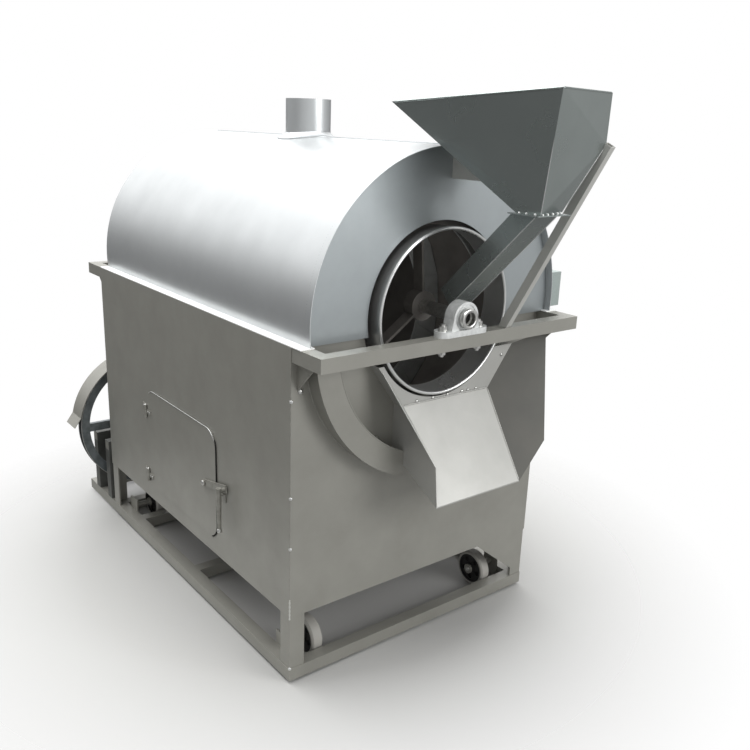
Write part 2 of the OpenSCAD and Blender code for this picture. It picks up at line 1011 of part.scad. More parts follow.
// Pillow block with its foot on z = 0 and its axis along Y
module pillow_block() {
    difference() {
        union() {
            slab_z(0, bearing_foot) {
                area((bearing_w - bearing_l) / 2, (bearing_l - bearing_w) / 2,
                    -bearing_w / 2, bearing_w / 2);
                for (s = [-1, 1])
                    translate([s * (bearing_l - bearing_w) / 2, 0])
                        circle(bearing_w / 2);
            }
            slab_y(-boss_w / 2, boss_w / 2) {
                translate([0, bearing_h])
                    circle(bearing_r);
                polygon([[-neck_half, 0], [neck_half, 0], [neck_half, bearing_foot], [bearing_r, bearing_h],
                    [-bearing_r, bearing_h], [-neck_half, bearing_foot]]);
            }
        }
        rod_y(race_r + run_gap, -bearing_w, bearing_w, 0, bearing_h);
        for (y = [-boss_w / 2 - over, boss_w / 2 - groove_d])
            pipe_y(groove_r, groove_r - groove_w, y, y + groove_d + over, 0, bearing_h);
        bolt_holes(0, 0, 0, bearing_foot);
    }
}

module front_bearing_housing() {
    color(cast_green)
        placed()
            translate([0, front_bearing_y, bar_top_z])
                pillow_block();
}

module rear_bearing_housing() {
    color(cast_green)
        placed()
            translate([0, rear_bearing_y, bar_top_z])
                pillow_block();
}

module jack_bearing_housings() {
    color(cast_green)
        placed()
            for (y = [jack_y0, jack_y1])
                translate([jack_x, y, beam_top_z])
                    pillow_block();
}

// Two bolts of one bearing: shank, nut over the foot and nut under the tube
module bolt_pair(x, y, z) {
    top = z + bearing_foot;
    for (s = [-bearing_pitch / 2, bearing_pitch / 2])
        translate([x + s, y, 0]) {
            rod_z(bolt_r, z - tube_w - nut_h - bolt_end, top + washer_t + nut_h + bolt_end, 0, 0);
            rod_z(washer_r, top, top + washer_t, 0, 0);
            translate([0, 0, top + washer_t])
                cylinder(r = bolt_r * nut_share, h = nut_h, $fn = 6);
            translate([0, 0, z - tube_w - nut_h])
                cylinder(r = bolt_r * nut_share, h = nut_h, $fn = 6);
        }
}

module bearing_bolts() {
    color(bright_steel)
        placed() {
            bolt_pair(0, front_bearing_y, bar_top_z);
            bolt_pair(0, rear_bearing_y, bar_top_z);
            bolt_pair(jack_x, jack_y0, beam_top_z);
            bolt_pair(jack_x, jack_y1, beam_top_z);
        }
}

// Inner ring of one bearing
module bearing_ring(x, y, z) {
    pipe_y(race_r, shaft_r + run_gap, y - race_l / 2, y + race_l / 2, x, z);
}

module drum_bearing_rings() {
    color(bright_steel)
        placed() {
            bearing_ring(0, front_bearing_y, axis_z);
            bearing_ring(0, rear_bearing_y, axis_z);
        }
}

// Drum
module drum_shell() {
    color(soot_steel)
        placed() {
            pipe_y(drum_r, drum_in_r, drum_y0, drum_y1, 0, axis_z);
            pipe_y(drum_r, collar_r - drum_t, drum_y0, drum_y0 + drum_t, 0, axis_z);
            pipe_y(drum_r, shaft_r + run_gap, drum_y1 - drum_t, drum_y1, 0, axis_z);
        }
}

module drum_collar() {
    color(bright_steel)
        placed()
            translate([0, 0, axis_z])
                rotate([-90, 0, 0]) {
                    translate([0, 0, -collar_front])
                        difference() {
                            cylinder(r = collar_r, h = collar_front + drum_y0);
                            translate([0, 0, -over])
                                cylinder(r = collar_r - drum_t, h = collar_front + drum_y0 + 2 * over);
                        }
                    translate([0, 0, -collar_front])
                        rotate_extrude()
                            translate([collar_r - drum_t / 2, 0])
                                circle(lip_r, $fn = 32);
                }
}

// One spiral flight as a row of twisted plates with a weld gap after each
module flight(turn) {
    n = flight_plates * plate_steps;
    m = plate_steps;
    r0 = flight_out_r - flight_w;
    function spot(i, r, y) =
        let (a = turn + flight_turns * 360 * i / n)
        [r * cos(a), y + (flight_y1 - flight_y0) * i / n, r * sin(a)];
    sides = [for (i = [0 : m - 1], k = [0 : 3])
        [4 * i + k, 4 * i + (k + 1) % 4, 4 * i + 4 + (k + 1) % 4, 4 * i + 4 + k]];
    faces = concat([[3, 2, 1, 0]], sides, [[4 * m, 4 * m + 1, 4 * m + 2, 4 * m + 3]]);
    for (j = [0 : flight_plates - 1]) {
        points = [for (k = [0 : m])
            let (i = j * m + k * (1 - weld_share))
            each [spot(i, r0, flight_y0), spot(i, flight_out_r, flight_y0),
                spot(i, flight_out_r, flight_y0 + flight_t), spot(i, r0, flight_y0 + flight_t)]];
        polyhedron(points = points, faces = faces);
    }
}

module drum_flights() {
    color(soot_steel)
        placed()
            translate([0, 0, axis_z])
                for (k = [0 : flight_n - 1])
                    flight(k * 360 / flight_n);
}

module front_spider() {
    color(soot_steel)
        placed() {
            pipe_y(hub_r, shaft_r + run_gap, spider_y0, spider_y1, 0, axis_z);
            translate([0, 0, axis_z])
                for (k = [0 : spoke_n - 1])
                    rotate([0, spoke_turn + k * 360 / spoke_n, 0])
                        slab_x(hub_r - over, drum_in_r - fit_gap)
                            area(spider_y0, spider_y1, -spoke_t / 2, spoke_t / 2);
        }
}

module drum_shafts() {
    color(bright_steel)
        placed() {
            difference() {
                rod_y(shaft_r, front_shaft_y, spider_y1 + shaft_end, 0, axis_z);
                rod_y(bore_r, front_shaft_y - over, front_shaft_y + bore_d, 0, axis_z);
            }
            rod_y(shaft_r, drum_y1 - drum_t - rear_hub_l, pulley_y + shaft_end, 0, axis_z);
            rod_y(rear_flange_r, drum_y1 - drum_t - rear_flange_t, drum_y1 - drum_t, 0, axis_z);
            rod_y(hub_r, drum_y1 - drum_t - rear_hub_l, drum_y1 - drum_t, 0, axis_z);
        }
}

// Pulley rim with a belt groove round Y, its middle at y = 0
module grooved_rim(r, r_in) {
    rotate([-90, 0, 0])
        rotate_extrude()
            polygon([[r_in, -rim_w / 2], [r, -rim_w / 2], [r, -groove_top / 2],
                [r - groove_depth, -groove_low / 2], [r - groove_depth, groove_low / 2],
                [r, groove_top / 2], [r, rim_w / 2], [r_in, rim_w / 2]]);
}

module drum_pulley() {
    web_r = drum_pulley_r - sheave_rim_t + over;
    color(dark_steel)
        placed()
            translate([0, pulley_y, axis_z]) {
                grooved_rim(drum_pulley_r, drum_pulley_r - sheave_rim_t);
                difference() {
                    rod_y(web_r, -web_t / 2, web_t / 2, 0, 0);
                    rod_y(shaft_r + run_gap, -web_t, web_t, 0, 0);
                    for (k = [0 : web_hole_n - 1])
                        rotate([0, k * 360 / web_hole_n, 0])
                            rod_y(web_hole_r, -web_t, web_t, drum_pulley_r * web_hole_share, 0);
                }
                pipe_y(hub_r, shaft_r + run_gap, -rim_w / 2, rim_w / 2, 0, 0);
            }
}

// Drive
module jack_shaft() {
    color(bright_steel)
        placed() {
            rod_y(shaft_r, jack_y0 - race_l / 2, pulley_y + shaft_end, jack_x, jack_z);
            bearing_ring(jack_x, jack_y0, jack_z);
            bearing_ring(jack_x, jack_y1, jack_z);
        }
}

module jack_sheave() {
    color(dark_steel)
        placed()
            translate([jack_x, sheave_y, jack_z]) {
                grooved_rim(sheave_r, sheave_r - sheave_rim_t);
                pipe_y(sheave_hub_r, shaft_r + run_gap, -sheave_hub_l / 2, sheave_hub_l / 2, 0, 0);
                for (k = [0 : sheave_spoke_n - 1])
                    rotate([0, 180 + k * 360 / sheave_spoke_n, 0])
                        slab_x(sheave_hub_r - over, sheave_r - sheave_rim_t + over)
                            area(-sheave_spoke_t / 2, sheave_spoke_t / 2,
                                -sheave_spoke_w / 2, sheave_spoke_w / 2);
            }
}

module jack_pulley() {
    color(dark_steel)
        placed()
            translate([jack_x, pulley_y, jack_z])
                grooved_rim(jack_pulley_r, shaft_r + run_gap);
}

module drive_stands() {
    color(panel_steel)
        placed()
            for (y = [jack_y0, jack_y1])
                difference() {
                    union() {
                        tube_x(-half_w, drive_rail_x + tube_w, y - tube_w / 2, beam_low_z);
                        tube_z(tube_w, beam_low_z - fit_gap, -half_w, y - tube_w / 2);
                        tube_z(tube_w, beam_low_z - fit_gap, drive_rail_x, y - tube_w / 2);
                    }
                    bolt_holes(jack_x, y, beam_low_z, beam_top_z);
                }
}

// Point on a circle round the jackshaft
function guard_spot(r, a) = [jack_x + r * cos(a), jack_z + r * sin(a)];

module sheave_guard() {
    r0 = sheave_r + guard_gap;
    r1 = r0 + sheet_t;
    far = 2 * r1;
    tail_turn = guard_to_turn + quarter_turn - guard_tail_turn;
    tail = guard_tail * [cos(tail_turn), sin(tail_turn)];
    leg_z = jack_z + sqrt(r0 * r0 - guard_leg_x * guard_leg_x);
    color(panel_steel)
        placed() {
            slab_y(sheave_y - guard_w / 2, sheave_y + guard_w / 2) {
                intersection() {
                    difference() {
                        translate([jack_x, jack_z])
                            circle(r1);
                        translate([jack_x, jack_z])
                            circle(r0);
                    }
                    polygon([[jack_x, jack_z], guard_spot(far, guard_from_turn),
                        guard_spot(far, (guard_from_turn + guard_to_turn) / 2),
                        guard_spot(far, guard_to_turn)]);
                }
                polygon([guard_spot(r0, guard_to_turn), guard_spot(r1, guard_to_turn),
                    guard_spot(r1, guard_to_turn) + tail, guard_spot(r0, guard_to_turn) + tail]);
            }
            for (x = [jack_x - guard_leg_x, jack_x + guard_leg_x])
                difference() {
                    translate([x - guard_leg_w / 2, jack_y0 + tube_w / 2 - guard_leg_t, beam_top_z])
                        cube([guard_leg_w, guard_leg_t, leg_z - beam_top_z + guard_leg_w]);
                    pipe_y(far, r0 + sheet_t / 2, jack_y0 - tube_w, sheave_y, jack_x, jack_z);
                }
        }
}

// Outline round two pulleys
module belt_area(p, rp, q, rq) {
    hull() {
        translate(p)
            circle(rp);
        translate(q)
            circle(rq);
    }
}

module belt(p, rp, q, rq) {
    difference() {
        belt_area(p, rp - belt_sink + belt_t, q, rq - belt_sink + belt_t);
        belt_area(p, rp - belt_sink, q, rq - belt_sink);
    }
}

module motor_belt() {
    color(black_rubber)
        placed()
            slab_y(sheave_y - belt_w / 2, sheave_y + belt_w / 2)
                belt([jack_x, jack_z], sheave_r, [motor_x, motor_z], motor_pulley_r);
}

module drum_belt() {
    color(black_rubber)
        placed()
            slab_y(pulley_y - belt_w / 2, pulley_y + belt_w / 2)
                belt([jack_x, jack_z], jack_pulley_r, [0, axis_z], drum_pulley_r);
}

module motor_body() {
    core_r = motor_r * motor_core_share;
    bell_r = motor_r * motor_bell_share;
    fin_y0 = motor_y0 + motor_fan_l;
    fin_y1 = motor_y1 - motor_bell_l;
    color(motor_blue)
        placed() {
            difference() {
                translate([motor_x, 0, motor_z]) {
                    rod_y(core_r, fin_y0 - over, fin_y1 + over, 0, 0);
                    rod_y(bell_r, fin_y1, motor_y1, 0, 0);
                    rod_y(bell_r, motor_y0, fin_y0, 0, 0);
                    rod_y(motor_nose_r, motor_y1 - over, motor_y1 + motor_nose_l, 0, 0);
                    for (k = [0 : motor_fin_n - 1])
                        rotate([0, k * 360 / motor_fin_n, 0])
                            slab_x(core_r - over, motor_r)
                                area(fin_y0, fin_y1, -motor_fin_t / 2, motor_fin_t / 2);
                    slab_x(-core_r * motor_box_share - motor_box[0], -core_r * motor_box_share)
                        area(fin_y0 + motor_box[1] / 4, fin_y0 + motor_box[1] * 5 / 4,
                            -motor_box[2] / 2, motor_box[2] / 2);
                }
                rod_y(motor_shaft_r + run_gap, motor_y1 - motor_bell_l, motor_y1 + motor_bell_l,
                    motor_x, motor_z);
            }
            for (y = [fin_y0, fin_y1 - motor_foot_l])
                slab_y(y, y + motor_foot_l) {
                    area(motor_x - motor_foot_half, motor_x + motor_foot_half, tube_w + plate_t,
                        tube_w + plate_t + motor_foot_t);
                    difference() {
                        area(motor_x - motor_web_half, motor_x + motor_web_half, tube_w + plate_t, motor_z);
                        translate([motor_x, motor_z])
                            circle(core_r - over);
                    }
                }
        }
}

module motor_plate() {
    color(panel_steel)
        placed()
            slab_z(tube_w, tube_w + plate_t)
                area(motor_x - motor_plate_half, motor_x + motor_plate_half, motor_rail_y, body_l);
}

module motor_rotor() {
    color(dark_steel)
        placed() {
            rod_y(motor_shaft_r, motor_y1 - motor_nose_l, sheave_y + rim_w / 2, motor_x, motor_z);
            translate([motor_x, sheave_y, motor_z])
                grooved_rim(motor_pulley_r, motor_shaft_r - over);
        }
}

// Control box
module control_box() {
    color(box_grey)
        placed()
            difference() {
                translate([box_x0, box_y0, body_top_z])
                    cube([box_w, box_l, box_h]);
                translate([box_x0 + box_t, box_y0 + box_t, body_top_z + box_t])
                    cube([box_w, box_l - 2 * box_t, box_h - 2 * box_t]);
            }
}

module control_box_lid() {
    color(box_grey)
        placed()
            slab_x(box_x1, box_x1 + box_t)
                difference() {
                    area(box_y0, box_y0 + box_l, body_top_z, body_top_z + box_h);
                    translate([knob_y, knob_z])
                        circle(stem_r + run_gap);
                    translate([stop_y, knob_z])
                        circle(stop_stem_r + fit_gap);
                }
}

module run_switch() {
    face = box_x1 + box_t + move_gap;
    color(black_rubber)
        placed() {
            rod_x(stem_r, box_x1 - stem_in, face + knob_t / 2, knob_y, knob_z);
            rod_x(knob_r, face, face + knob_t, knob_y, knob_z);
            translate([face + knob_t - over, knob_y - knob_grip[1] / 2, knob_z - knob_grip[2] / 2])
                cube([knob_grip[0], knob_grip[1], knob_grip[2]]);
        }
}

module stop_button() {
    face = box_x1 + box_t + stop_lift;
    color(stop_red)
        placed() {
            rod_x(stop_stem_r, box_x1 - stem_in, face + over, stop_y, knob_z);
            rod_x(stop_r, face, face + stop_head_t, stop_y, knob_z);
        }
}

// Fire place
module hearth_tray() {
    color(soot_steel)
        placed()
            difference() {
                translate([-tray_x, tray_y0, tray_z])
                    cube([2 * tray_x, body_l - 2 * tray_y0, tray_h]);
                translate([sheet_t - tray_x, tray_y0 + sheet_t, tray_z + sheet_t])
                    cube([2 * (tray_x - sheet_t), body_l - 2 * (tray_y0 + sheet_t), tray_h]);
            }
}

module fire_grate() {
    floor_z = tray_z + sheet_t;
    pitch = (2 * grate_half - grate_bar) / (grate_n - 1);
    color(soot_steel)
        placed() {
            for (y = [grate_y0 + bearer_in, grate_y1 - bearer_in - bearer_t])
                translate([-grate_half, y, floor_z])
                    cube([2 * grate_half, bearer_t, bearer_h]);
            for (k = [0 : grate_n - 1])
                translate([k * pitch - grate_half, grate_y0, floor_z + bearer_h - over])
                    cube([grate_bar, grate_y1 - grate_y0, grate_bar]);
        }
}

// Fire door, hinges and latch
module fire_door() {
    color(panel_steel)
        placed() {
            slab_x(door_face, door_face + door_t)
                door_area(0, door_corner);
            slab_x(door_face + door_t - over, liner_d - half_w)
                door_area(liner_in, sheet_t);
            rod_x(latch_pin_r, latch_x - move_gap - latch_head_t, door_face + over, latch_y, latch_z);
            rod_x(latch_head_r, latch_x - move_gap - latch_head_t, latch_x - move_gap, latch_y, latch_z);
        }
}

module panel_hinges() {
    color(dark_steel)
        placed()
            for (z = hinge_zs) {
                difference() {
                    union() {
                        slab_x(-half_w - leaf_t, -half_w)
                            area(hinge_y, hinge_y + leaf_l, z, z + hinge_h);
                        rod_z(knuckle_r, z, z + knuckle_h, hinge_x, hinge_y);
                        rod_z(knuckle_r, z + 2 * knuckle_h, z + hinge_h, hinge_x, hinge_y);
                    }
                    rod_z(knuckle_r + move_gap, z + knuckle_h, z + 2 * knuckle_h, hinge_x, hinge_y);
                }
                rod_z(pin_r, z, z + hinge_h, hinge_x, hinge_y);
            }
}

module door_hinges() {
    color(dark_steel)
        placed()
            for (z = hinge_zs) {
                low = z + knuckle_h + fit_gap;
                high = z + 2 * knuckle_h - fit_gap;
                difference() {
                    union() {
                        slab_x(door_face - leaf_t, door_face)
                            area(hinge_y - leaf_l, hinge_y, low, high);
                        rod_z(knuckle_r, low, high, hinge_x, hinge_y);
                    }
                    rod_z(pin_r + run_gap, z, z + hinge_h, hinge_x, hinge_y);
                }
            }
}

module latch_bar() {
    handle_x = latch_x - handle_off;
    color(dark_steel)
        placed()
            translate([0, latch_y, latch_z]) {
                rotate([-latch_rise, 0, 0]) {
                    slab_x(latch_x, latch_x + latch_t)
                        difference() {
                            union() {
                                area(-latch_l, 0, -latch_h / 2, latch_h / 2);
                                circle(latch_h / 2);
                            }
                            circle(latch_pin_r + run_gap);
                        }
                    rod_x(handle_boss_r, handle_x, latch_x + over, handle_boss_r - latch_l, 0);
                }
                translate([handle_x, (handle_boss_r - latch_l) * cos(latch_rise),
                    (latch_l - handle_boss_r) * sin(latch_rise)])
                    rotate([180, 0, 0])
                        translate([0, 0, -handle_r])
                            cylinder(r1 = handle_r, r2 = handle_tip_r, h = handle_l);
            }
}

module latch_keeper() {
    ledge_z = latch_z + (latch_y - keeper_y1) * tan(latch_rise) - latch_h / 2 / cos(latch_rise) - fit_gap;
    color(dark_steel)
        placed() {
            slab_x(-half_w - keeper_t, -half_w)
                area(keeper_y0, keeper_y1, ledge_z - keeper_h / 2, ledge_z);
            slab_x(-half_w - keeper_out, -half_w - keeper_t / 2)
                area(keeper_y0, keeper_y1, ledge_z - keeper_t, ledge_z);
        }
}

// Wheels
module wheel_axles() {
    color(panel_steel)
        placed()
            for (s = [-1, 1], y = axle_ys) {
                inner = wheel_x - (wheel_boss_w - wheel_w) / 2 - move_gap;
                outer = wheel_x + wheel_w + (wheel_boss_w - wheel_w) / 2 + move_gap;
                plate = half_w - tube_w;
                near = plate - axle_plate_t;
                slab_x(min(s * plate, s * near), max(s * plate, s * near))
                    area(y - axle_plate_l / 2, y + axle_plate_l / 2, 0, axle_plate_top);
                rod_x(axle_r, min(s * (inner - collar_t), s * plate), max(s * (inner - collar_t), s * plate),
                    y, axle_z);
                for (x = [inner - collar_t, outer])
                    rod_x(collar_out_r, min(s * x, s * (x + collar_t)), max(s * x, s * (x + collar_t)),
                        y, axle_z);
            }
}

module wheel(s, y) {
    mid = s * (wheel_x + wheel_w / 2);
    e = wheel_w / 2;
    color(tyre_grey)
        placed()
            translate([mid, y, axle_z])
                rotate([0, 90, 0])
                    difference() {
                        union() {
                            rotate_extrude()
                                polygon([[tyre_in_r, -e], [wheel_r - tyre_edge, -e],
                                    [wheel_r, tyre_edge - e], [wheel_r, e - tyre_edge],
                                    [wheel_r - tyre_edge, e], [tyre_in_r, e]]);
                            rod_z(hub_disc_r, -wheel_hub_w / 2, wheel_hub_w / 2, 0, 0);
                            rod_z(wheel_boss_r, -wheel_boss_w / 2, wheel_boss_w / 2, 0, 0);
                        }
                        rod_z(axle_r + run_gap, -wheel_boss_w, wheel_boss_w, 0, 0);
                        for (k = [0 : wheel_hole_n - 1])
                            rotate([0, 0, k * 360 / wheel_hole_n])
                                rod_z(wheel_hole_r, -wheel_w, wheel_w, wheel_hole_pitch, 0);
                    }
}

module front_left_wheel() {
    wheel(-1, axle_ys[0]);
}

module front_right_wheel() {
    wheel(1, axle_ys[0]);
}

module rear_left_wheel() {
    wheel(-1, axle_ys[1]);
}

module rear_right_wheel() {
    wheel(1, axle_ys[1]);
}

base_side_rails();
base_cross_rails();
corner_posts();
gussets();
left_panel();
right_panel();
front_panel();
rear_panel();
top_rails();
front_crossbar();
rear_crossbar();
side_ledges();
hood_shell();
hood_front_plate();
flue_pipe();
front_ring();
chute_cheek();
chute_plate();
discharge_chute();
feed_hopper();
feed_trough();
hopper_supports();
front_bearing_housing();
rear_bearing_housing();
jack_bearing_housings();
bearing_bolts();
drive_stands();
sheave_guard();
motor_body();
motor_plate();
motor_belt();
drum_belt();
control_box();
control_box_lid();
hearth_tray();
fire_grate();
panel_hinges();
latch_keeper();
wheel_axles();
drum_shell();
drum_collar();
drum_flights();
front_spider();
drum_shafts();
drum_bearing_rings();
drum_pulley();
jack_shaft();
jack_sheave();
jack_pulley();
motor_rotor();
fire_door();
door_hinges();
latch_bar();
front_left_wheel();
front_right_wheel();
rear_left_wheel();
rear_right_wheel();
run_switch();
stop_button();
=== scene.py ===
# %% [markdown]
# # A drum roaster in sheet steel
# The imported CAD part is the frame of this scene. Each cell below adds one kind of thing: the
# steels, the small welded and bolted details, the floor, the light and the camera.
# Lengths are metres. Machine lengths are millimetres and count Y from the front panel's face.

# %% Load the frame
import math

import bpy
import numpy as np
from mathutils import Matrix, Vector


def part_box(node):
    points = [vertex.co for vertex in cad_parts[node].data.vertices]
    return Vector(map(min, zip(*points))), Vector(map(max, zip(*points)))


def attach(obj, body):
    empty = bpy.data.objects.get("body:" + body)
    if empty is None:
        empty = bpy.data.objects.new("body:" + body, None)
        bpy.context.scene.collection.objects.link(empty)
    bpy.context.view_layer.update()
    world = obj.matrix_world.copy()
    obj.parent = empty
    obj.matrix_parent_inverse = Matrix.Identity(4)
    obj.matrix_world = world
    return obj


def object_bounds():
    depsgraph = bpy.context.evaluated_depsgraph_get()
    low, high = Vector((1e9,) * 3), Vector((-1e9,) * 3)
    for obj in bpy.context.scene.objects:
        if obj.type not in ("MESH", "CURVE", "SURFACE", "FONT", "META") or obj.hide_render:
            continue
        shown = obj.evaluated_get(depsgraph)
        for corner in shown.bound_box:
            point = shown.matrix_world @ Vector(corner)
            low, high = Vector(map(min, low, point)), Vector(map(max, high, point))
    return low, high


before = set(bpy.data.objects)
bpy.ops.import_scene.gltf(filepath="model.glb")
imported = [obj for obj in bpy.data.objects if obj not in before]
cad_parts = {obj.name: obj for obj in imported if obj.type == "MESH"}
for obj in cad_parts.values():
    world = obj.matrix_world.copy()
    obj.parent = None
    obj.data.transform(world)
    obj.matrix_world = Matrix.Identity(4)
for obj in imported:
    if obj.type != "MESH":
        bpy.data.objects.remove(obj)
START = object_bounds()
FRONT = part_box("front_panel")[0].y
AXIS_Z = 0.5 * (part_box("drum_shell")[0].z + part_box("drum_shell")[1].z)
print("nodes", len(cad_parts), "front face at y", round(FRONT, 4), "drum axis at z", round(AXIS_Z, 4))


def row(points):
    """Row-frame points in metres from machine millimetres: p / 1000 + (0, FRONT, 0)."""
    return np.asarray(points, float) / 1000 + [0, FRONT, 0]


def at(x, y, z):
    """One row-frame point from machine millimetres."""
    return row((x, y, z))


# %% [markdown]
# ## Steels
# One function turns an sRGB hex code into linear light: c = ((s + 0.055) / 1.055) ** 2.4 above
# 0.04045 and s / 12.92 below. One function adds a shader node and sets its inputs.

# %% Shader helpers
def linear(code):
    """Linear RGBA from an sRGB hex code."""
    s = np.array([int(code[i:i + 2], 16) for i in (0, 2, 4)]) / 255
    c = np.where(s > 0.04045, ((s + 0.055) / 1.055) ** 2.4, s / 12.92)
    return (*c, 1.0)


def add(tree, kind, **values):
    """A new node of that kind; keys name its properties, its input sockets, or IN and a socket's number."""
    n = tree.nodes.new("ShaderNode" + kind)
    for key, value in values.items():
        if hasattr(n, key) and key[0].islower():
            setattr(n, key, value)
        else:
            socket = n.inputs[int(key[2:])] if key[:2] == "IN" else n.inputs[key.replace("_", " ")]
            if isinstance(value, bpy.types.NodeSocket):
                tree.links.new(value, socket)
            else:
                socket.default_value = value
    return n


def start(name):
    """A new material: (material, tree, Principled shader)."""
    m = bpy.data.materials.new(name)
    m.use_nodes = True
    t = m.node_tree
    return m, t, t.nodes["Principled BSDF"]


def mix(tree, fac, a, b):
    """Colour mix (1 - fac) a + fac b."""
    return add(tree, "Mix", data_type="RGBA", IN0=fac, IN6=a, IN7=b).outputs[2]


def spread(tree, value, low, high, to_low, to_high):
    """Map Range: value in low..high goes to to_low..to_high."""
    n = add(tree, "MapRange", Value=value, From_Min=low, From_Max=high, To_Min=to_low, To_Max=to_high)
    return n.outputs["Result"]


# %% [markdown]
# Sheet steel has slow waves of the panel, faint clouds in the paint, a fine drawn grain and a
# roughness that follows the clouds.

# %% Sheet steel
PANEL_WAVE = 0.3  # length of a panel's waves
PAINT_CLOUD = 0.14  # size of the clouds
GRAIN_ACROSS = 0.002
GRAIN_ALONG = 0.06
CLOUD_LOW, CLOUD_HIGH = 0.3, 0.7  # noise values that give the dark and the light colour
ROUGH_SWING = 0.04  # the clouds change the roughness by this much
COAT_ROUGH = 0.25
WAVE_DEPTH = 0.01
GRAIN_DEPTH = 0.0004


def sheet_steel(name, light, dark, metal, rough, wave=0.12, grain=0.06, coat=0.0):
    """Sheet or tube steel: two hex colours, metallic and roughness, strength of waves and grain."""
    m, t, shader = start(name)
    shader.inputs["Metallic"].default_value = metal
    shader.inputs["Coat Weight"].default_value = coat
    shader.inputs["Coat Roughness"].default_value = COAT_ROUGH
    place = add(t, "TexCoord").outputs["Object"]
    slow = add(t, "TexNoise", Vector=place, Scale=1 / PANEL_WAVE, Detail=1.0).outputs["Fac"]
    clouds = add(t, "TexNoise", Vector=place, Scale=1 / PAINT_CLOUD, Detail=5.0, Roughness=0.55)
    cloud = clouds.outputs["Fac"]
    drawn = add(t, "Mapping", Vector=place, Scale=(1 / GRAIN_ACROSS, 1 / GRAIN_ACROSS, 1 / GRAIN_ALONG))
    fine = add(t, "TexNoise", Vector=drawn.outputs["Vector"], Scale=1.0, Detail=3.0).outputs["Fac"]
    shade = spread(t, cloud, CLOUD_LOW, CLOUD_HIGH, 0.0, 1.0)
    t.links.new(mix(t, shade, linear(dark), linear(light)), shader.inputs["Base Color"])
    worn = spread(t, cloud, CLOUD_LOW, CLOUD_HIGH, rough + ROUGH_SWING, rough - ROUGH_SWING)
    t.links.new(worn, shader.inputs["Roughness"])
    swell = add(t, "Bump", Height=slow, Strength=wave, Distance=WAVE_DEPTH).outputs["Normal"]
    lines = add(t, "Bump", Height=fine, Strength=grain, Distance=GRAIN_DEPTH, Normal=swell)
    t.links.new(lines.outputs["Normal"], shader.inputs["Normal"])
    return m


MATERIALS = {
    # mild steel sheet and tube under silver-grey paint: body, frame, door and crossbars
    "body": sheet_steel("silver_grey_painted_steel", "95948D", "8C8B84", 0.3, 0.45, coat=0.3),
    # bare rolled sheet of the hood
    "hood": sheet_steel("rolled_steel_sheet", "C9CCCD", "C2C5C6", 0.75, 0.36, wave=0.015, grain=0.03),
    # the hood's steel on its front plate, made darker than the hood as painted shade
    "plate": sheet_steel("hood_steel_painted_shade", "A4AAAC", "9AA0A2", 0.7, 0.38),
    # bare bright edges and flanges; also thin lines of painted highlight on folds and on the door's top
    # edge
    "bright": sheet_steel("bare_steel_and_painted_highlight", "DCDDDC", "D0D1D0", 0.85, 0.3, wave=0.05),
    # ledges along the hood, made near white as painted top light on their upward faces
    "ledge": sheet_steel("painted_toplight_ledge_steel", "F6F7F6", "F0F1F0", 0.0, 0.5, wave=0.15),
    # square tube of the strut, made lighter than the body's paint as painted light
    "strut": sheet_steel("painted_light_tube_steel", "CBCBC6", "C0C0BB", 0.35, 0.42, wave=0.05),
    # smooth drawn sheet of the hopper and trough
    "hopper": sheet_steel("smooth_drawn_steel", "9AA19F", "919896", 0.75, 0.26, wave=0.05),
    # wiped sheet of the discharge chute
    "chute": sheet_steel("wiped_chute_steel", "B7B7B3", "ACACA8", 0.45, 0.46, wave=0.1),
    # flared right wall of the chute, made dark as painted shade
    "cheek": sheet_steel("painted_shade_cheek_steel", "74736E", "6A6A66", 0.45, 0.42, wave=0.1),
    # drum, tray and grate: scaled and sooty steel
    "soot": sheet_steel("sooty_scaled_steel", "77736F", "5C5955", 0.3, 0.6, wave=0.25),
    # flights, rubbed bare
    "flight": sheet_steel("rubbed_flight_steel", "C6C9C7", "A9ACAA", 0.45, 0.48),
}
print("sheet steels", len(MATERIALS))


# %% [markdown]
# Cast, turned, rubber and plastic pieces need less: two colours mixed by one small cloud.

# %% Castings, rubber, plastic
DENT_DEPTH = 0.001
SPECK_LOW, SPECK_HIGH = 0.35, 0.65  # noise values that give the dark and the light colour


def plain(name, light, dark, metal, rough, size, bump=0.1):
    """Two hex colours, metallic and roughness, and clouds of that size, which also dent the surface."""
    m, t, shader = start(name)
    place = add(t, "TexCoord").outputs["Object"]
    cloud = add(t, "TexNoise", Vector=place, Scale=1 / size, Detail=4.0).outputs["Fac"]
    shade = spread(t, cloud, SPECK_LOW, SPECK_HIGH, 0.0, 1.0)
    t.links.new(mix(t, shade, linear(dark), linear(light)), shader.inputs["Base Color"])
    shader.inputs["Roughness"].default_value = rough
    shader.inputs["Metallic"].default_value = metal
    dents = add(t, "Bump", Height=cloud, Strength=bump, Distance=DENT_DEPTH)
    t.links.new(dents.outputs["Normal"], shader.inputs["Normal"])
    return m


